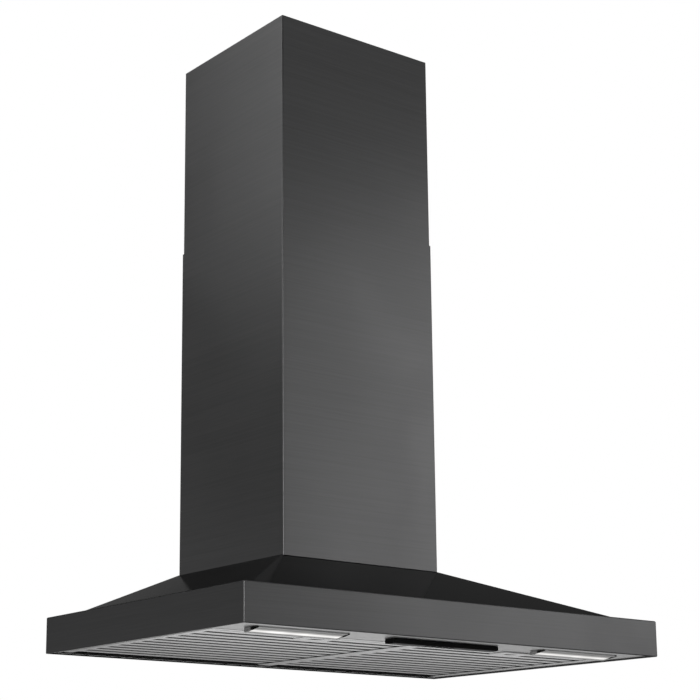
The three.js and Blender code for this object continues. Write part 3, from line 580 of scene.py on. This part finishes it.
def turned(shape, profile, at, steps=40):
    """A closed round piece about a vertical axis from (radius, z) points; it ends on the axis."""
    rings = []
    for radius, z in profile:
        angles = [2 * math.pi * k / steps for k in range(steps)]
        rings.append([(at.x + radius * math.cos(a), at.y + radius * math.sin(a), z) for a in angles])
    loft(shape, rings)


def ribbon(shape, points, width, low, high):
    """A raised line of constant width along an open path of (x, y) points."""
    left, right = [], []
    for i, at in enumerate(points):
        ahead = points[min(i + 1, len(points) - 1)]
        behind = points[max(i - 1, 0)]
        along = (ahead - behind).normalized()
        side = Vector((-along.y, along.x)) * (width / 2)
        left.append(at + side)
        right.append(at - side)
    outline = left + right[::-1]
    if area(outline) < 0:
        outline.reverse()
    loft(shape, [[(p.x, p.y, low) for p in outline], [(p.x, p.y, high) for p in outline]])


def arc(centre, radius, start, end, steps=20):
    """Points along an arc between two angles in degrees."""
    angles = [math.radians(start + (end - start) * k / steps) for k in range(steps + 1)]
    return [centre + Vector((radius * math.cos(a), radius * math.sin(a))) for a in angles]


def stroke(centre, x0, y0, x1, y1):
    """A straight line between two points given in millimetres from the centre."""
    return [centre + Vector((x0, y0)) * MM, centre + Vector((x1, y1)) * MM]


def power_icon(c):
    return [arc(c, 1.5 * MM, 125, 415), stroke(c, 0, 0.3, 0, 2.1)]


def minus_icon(c):
    return [stroke(c, -1.5, 0, 1.5, 0)]


def plus_icon(c):
    return [stroke(c, -1.5, 0, 1.5, 0), stroke(c, 0, -1.5, 0, -0.2), stroke(c, 0, 0.2, 0, 1.5)]


def bulb_icon(c):
    return [arc(c, 1.0 * MM, -50, 230), stroke(c, -0.55, -1.3, 0.55, -1.3), stroke(c, -0.4, -1.8, 0.4, -1.8)]


def clock_icon(c):
    return [arc(c, 1.6 * MM, 0, 350), stroke(c, 0, 0.1, 0, 1.1), stroke(c, 0.15, 0, 0.9, 0)]


ICONS = (power_icon, minus_icon, plus_icon, bulb_icon, clock_icon)  # button_1 to button_5
ICON_WIDTH = 0.42 * MM
CAP_RADIUS = 3.5 * MM
COLLAR_RISE = 2.5 * MM  # from the cap's face to the collar
COLLAR_HEIGHT = 1 * MM


def push_button(index, paths_of):
    """A round button with a dished face and a collar above it, and the raised sign on its face."""
    low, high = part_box(f"button_{index}")
    at = Vector(((low.x + high.x) / 2, (low.y + high.y) / 2))
    cap = CAP_RADIUS
    collar = (high.x - low.x) / 2
    collar_low = low.z + COLLAR_RISE
    collar_top = collar_low + COLLAR_HEIGHT
    profile = [
        (0.4 * cap, low.z + 0.22 * MM), (0.62 * cap, low.z + 0.12 * MM), (0.78 * cap, low.z + 0.02 * MM),
        (0.86 * cap, low.z), (0.93 * cap, low.z + 0.05 * MM), (cap, low.z + 0.35 * MM), (cap, collar_low),
        (collar, collar_low), (collar, collar_top), (cap, collar_top), (cap, high.z),
    ]

    def body(shape):
        turned(shape, profile, at)

    def icon(shape):
        for path in paths_of(at):
            ribbon(shape, path, ICON_WIDTH, low.z + 0.02 * MM, low.z + 0.26 * MM)

    carrier = f"button_{index}"
    build(f"push_button_{index}", body, carrier, "gloss_black", replaced=[carrier])
    build(f"button_icon_{index}", icon, carrier, "gloss_black", material=legend)


for index, paths_of in enumerate(ICONS, 1):
    push_button(index, paths_of)

# ---------------------------------------------------------------- grease filter baffles


BAFFLE_COUNT = 12
BAFFLE_PITCH = 30.4 * MM
BAFFLE_HALF = 9.2 * MM
BAFFLE_SHEET = 0.8 * MM
OUTER_BEND = 1.3 * MM
INNER_BEND = 0.5 * MM
LIP_ROUND = 0.3 * MM
LIP = 4 * MM
SHORT_LIP = 2.9 * MM  # leaves room above the front baffle for the latch slider
RAIL_WIDTH = 6.5 * MM


def folded_baffle(shape, y0, y1, web, lip, x0, x1):
    """A channel of thin sheet with rounded folds; its web is below and its lips reach up."""
    floor_z = web + BAFFLE_SHEET
    section = fillet([
        (y0, lip, LIP_ROUND), (y0, web, OUTER_BEND), (y1, web, OUTER_BEND), (y1, lip, LIP_ROUND),
        (y1 - BAFFLE_SHEET, lip, LIP_ROUND), (y1 - BAFFLE_SHEET, floor_z, INNER_BEND),
        (y0 + BAFFLE_SHEET, floor_z, INNER_BEND), (y0 + BAFFLE_SHEET, lip, LIP_ROUND),
    ], steps=4)
    prism(shape, section, "x", x0, x1, 0.1 * MM)


def lower_baffles(side):
    """The row of baffles seen from below, joined by a flat rail across each end."""
    node = f"filter_lower_baffles_{side}"
    low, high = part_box(node)
    middle = (low.y + high.y) / 2

    def faces_of(shape):
        for i in range(BAFFLE_COUNT):
            y = middle + (i - (BAFFLE_COUNT - 1) / 2) * BAFFLE_PITCH
            lip = low.z + (LIP if i else SHORT_LIP)
            folded_baffle(shape, y - BAFFLE_HALF, y + BAFFLE_HALF, low.z, lip, low.x, high.x)
        for x in (low.x + 0.5 * MM, high.x - 0.5 * MM - RAIL_WIDTH):
            rail = rectangle(x, x + RAIL_WIDTH, low.z + 0.15 * MM, low.z + 0.65 * MM, 0.1 * MM)
            prism(shape, rail, "y", low.y, high.y, 0.05 * MM)

    build(f"lower_baffle_set_{side}", faces_of, f"filter_{side}", "filter_stainless", replaced=[node])


for side in SIDES:
    lower_baffles(side)

# ---------------------------------------------------------------- lamp trims

LENS_GAP = 0.3 * MM
TRIM_FRONT_Z = 0.8 * MM
TRIM_TOP = 2.2 * MM


def lamp_trim(side):
    """The sloping frame round a lamp: a lip along each side of the lens, and a cap at each end."""
    node = f"lamp_bezel_{side}"
    low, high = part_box(node)
    inner_low, inner_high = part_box(f"lamp_lens_{side}")
    x0, x1 = inner_low.x - LENS_GAP, inner_high.x + LENS_GAP
    fall = (low.z - TRIM_FRONT_Z) / (high.y - low.y)

    def face(y):
        return TRIM_FRONT_Z + (y - low.y) * fall

    def bar(shape, y0, y1, start, end, edge):
        corners = [(y0, face(y0), edge), (y1, face(y1), edge), (y1, TRIM_TOP, 0), (y0, TRIM_TOP, 0)]
        prism(shape, fillet(corners), "x", start, end, 0.3 * MM)

    def lips(shape):
        bar(shape, low.y, inner_low.y - LENS_GAP, x0, x1, 0.6 * MM)
        bar(shape, inner_high.y + LENS_GAP, high.y, x0, x1, 0.6 * MM)

    def caps(shape):
        bar(shape, low.y, high.y, low.x, x0, 0.8 * MM)
        bar(shape, low.y, high.y, x1, high.x, 0.8 * MM)

    build(f"lamp_end_caps_{side}", caps, "canopy", "black_plastic", material=cap_metal, replaced=[node])
    build(f"lamp_lips_{side}", lips, "canopy", "black_plastic", material=trim_metal)


for side in SIDES:
    lamp_trim(side)

# ---------------------------------------------------------------- CAD nodes that stay


EDGE_ROUND = 0.25 * MM


def soften(piece):
    """Rounds the edges of a CAD node with modifiers and leaves its mesh as it is."""
    weld = piece.modifiers.new("weld", "WELD")
    weld.merge_threshold = 1e-6
    flatten = piece.modifiers.new("flatten", "DECIMATE")
    flatten.decimate_type = "DISSOLVE"
    flatten.angle_limit = math.radians(0.5)
    bevel = piece.modifiers.new("round", "BEVEL")
    bevel.width = EDGE_ROUND
    bevel.segments = 2
    bevel.limit_method = "ANGLE"
    bevel.angle_limit = math.radians(40)
    even_normals(piece)


OWN_MATERIAL = {
    "filter_frame_left": frame_metal,
    "filter_frame_right": frame_metal,
    "control_fascia": fascia_gloss,
}
for entry in record["subparts"]:
    piece = nodes[entry["node"]]
    piece.data.materials.clear()
    own = OWN_MATERIAL.get(entry["node"], materials[entry["material_slot"]])
    piece.data.materials.append(own)
    if not piece.hide_render:
        soften(piece)

# ---------------------------------------------------------------- stage, lights and camera

FLOOR_Z = -0.8
FLOOR_REACH = 6.0


def floor():
    material, graph, shader = new_material("floor_paint")
    cloud = graph.noise(1.3, detail=4.0)
    graph.feed(shader.inputs["Base Color"], graph.ramp(cloud, [(0.3, grey(0.74)), (0.7, grey(0.8))]))
    graph.feed(shader.inputs["Roughness"], graph.spread(cloud, 0.5, 0.65))
    graph.feed(shader.inputs["Normal"], graph.bump(graph.noise(300), 0.1, 0.0005))
    mesh = bpy.data.meshes.new("floor")
    r = FLOOR_REACH
    corners = [(x, y, FLOOR_Z) for x, y in ((-r, -r), (r, -r), (r, r), (-r, r))]
    mesh.from_pydata(corners, [], [(0, 1, 2, 3)])
    mesh.materials.append(material)
    plane = bpy.data.objects.new("floor", mesh)
    bpy.context.scene.collection.objects.link(plane)


def softbox(name, place, target, width, power, height):
    """A soft rectangular light at a place, facing a target; the camera doesn't see it."""
    data = bpy.data.lights.new(name, "AREA")
    data.shape = "RECTANGLE"
    data.size = width
    data.size_y = height
    data.energy = power
    lamp = bpy.data.objects.new(name, data)
    lamp.location = place
    lamp.rotation_euler = (Vector(target) - Vector(place)).to_track_quat("-Z", "Y").to_euler()
    lamp.visible_camera = False
    bpy.context.scene.collection.objects.link(lamp)


ROOM = [
    (0.40, 0.85), (0.5, 0.50), (0.57, 0.40), (0.62, 0.16), (0.66, 0.04), (0.78, 0.04), (0.95, 0.5),
]  # brightness of the surroundings, from straight down at 0 to straight up at 1


def world():
    """A white backdrop for the camera, and a dim room with a pale lower half for everything else."""
    sky = bpy.data.worlds.new("studio")
    bpy.context.scene.world = sky
    sky.use_nodes = True
    graph = Graph(sky.node_tree)
    direction = graph.add("ShaderNodeTexCoord").outputs["Generated"]
    height = graph.add("ShaderNodeSeparateXYZ", Vector=direction).outputs["Z"]
    rising = graph.spread(height, 0.0, 1.0, -1.0, 1.0)
    room = graph.ramp(rising, [(place, grey(level)) for place, level in ROOM])
    seen = graph.add("ShaderNodeLightPath").outputs["Is Camera Ray"]
    backdrop = graph.add("ShaderNodeMix", {"data_type": "RGBA"})
    graph.feed(backdrop.inputs[0], seen)
    graph.feed(backdrop.inputs[6], room)
    graph.feed(backdrop.inputs[7], (1.0, 1.0, 1.0, 1.0))
    light = graph.add("ShaderNodeBackground", Color=backdrop.outputs[2], Strength=1.0)
    output = graph.add("ShaderNodeOutputWorld")
    graph.feed(output.inputs["Surface"], light.outputs[0])


EYE = (-1.6381, -2.2644, -0.2491)
AZIMUTH = math.radians(-36.277)
ELEVATION = math.radians(-12.208)  # below the horizon, looking up


def camera():
    data = bpy.data.cameras.new("camera")
    data.sensor_width = 36.0
    data.lens = 89.86
    data.shift_x = 0.1176
    data.shift_y = 0.1421
    data.clip_end = 100.0
    eye = bpy.data.objects.new("camera", data)
    eye.location = EYE
    level = math.cos(ELEVATION)
    look = Vector((-math.sin(AZIMUTH) * level, math.cos(AZIMUTH) * level, -math.sin(ELEVATION)))
    eye.rotation_euler = look.to_track_quat("-Z", "Y").to_euler()
    bpy.context.scene.collection.objects.link(eye)
    bpy.context.scene.camera = eye


floor()
world()
# name, place, target, width, power in watts, height
softbox("front_key", (2.45, -2.7, 1.0), (0, -0.4, 0.4), 0.8, 13, 1.8)
softbox("front_high", (1.6, -2.6, 2.9), (0, -0.3, 0.6), 3.0, 9, 2.4)
softbox("left_back", (-3.0, 1.6, 2.5), (0, -0.2, 0.5), 2.0, 33, 2.0)
softbox("edge_light", (-2.4, -3.0, 0.8), (0, -0.2, 0.5), 1.0, 60, 2.4)
softbox("slope_light", (1.9, 1.8, 1.15), (0.15, -0.4, 0.1), 1.6, 0.42, 1.6)
softbox("floor_wash", (1.7, 2.6, -0.1), (1.7, 2.6, FLOOR_Z), 3.4, 30, 3.4)
camera()
bpy.context.scene.view_settings.view_transform = "Standard"
